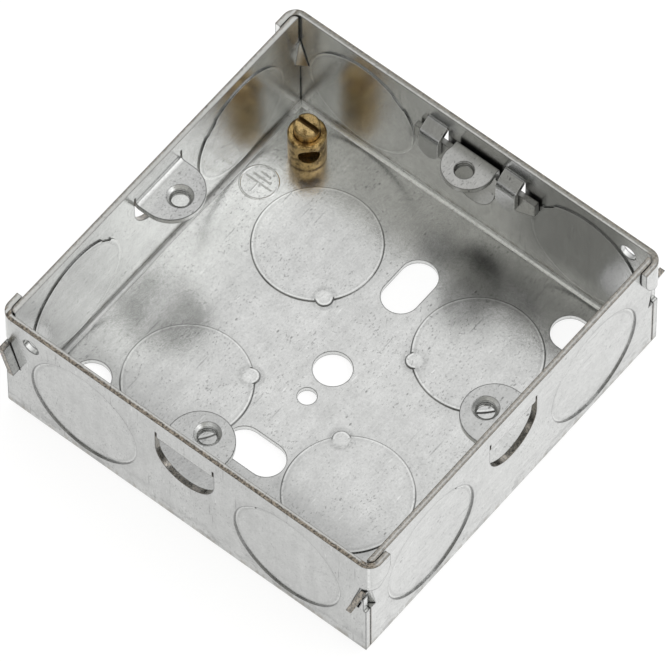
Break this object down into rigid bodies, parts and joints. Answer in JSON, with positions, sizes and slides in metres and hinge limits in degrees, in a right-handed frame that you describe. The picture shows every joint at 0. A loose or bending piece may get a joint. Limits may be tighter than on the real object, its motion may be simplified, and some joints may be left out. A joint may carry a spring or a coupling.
{
  "type": "flush back box",
  "caption": "Shallow square galvanised steel flush back box with round knockouts, folded screw lugs, a sliding adjustable lug and a brass earth terminal.",
  "frame": {"origin": "centre of the underside of the base", "axes": "+Z out of the open mouth, +X towards the wall with the adjustable lug, +Y towards the wall on its left seen from inside the box"},
  "size_m": [0.075, 0.0732, 0.0262],
  "materials": {
    "galvanised_steel": "bright galvanised sheet with fine rolling marks",
    "lug_steel": "plated sheet",
    "terminal_brass": "turned",
    "screw_brass": "turned"
  },
  "bodies": {
    "box": {"box_shell": "galvanised_steel", "earth_terminal": "terminal_brass"},
    "slider": {"adjustable_lug": "lug_steel"},
    "clamp": {"terminal_screw": "screw_brass"}
  },
  "joints": [
    {"name": "lug_slide", "type": "slide", "parent": "box", "child": "slider", "axis": [0, 1, 0], "range_m": [-0.0006, 0.0021]},
    {"name": "terminal_screw_travel", "type": "slide", "parent": "box", "child": "clamp", "axis": [0, 0, 1], "range_m": [-0.0018, 0.0015]}
  ]
}
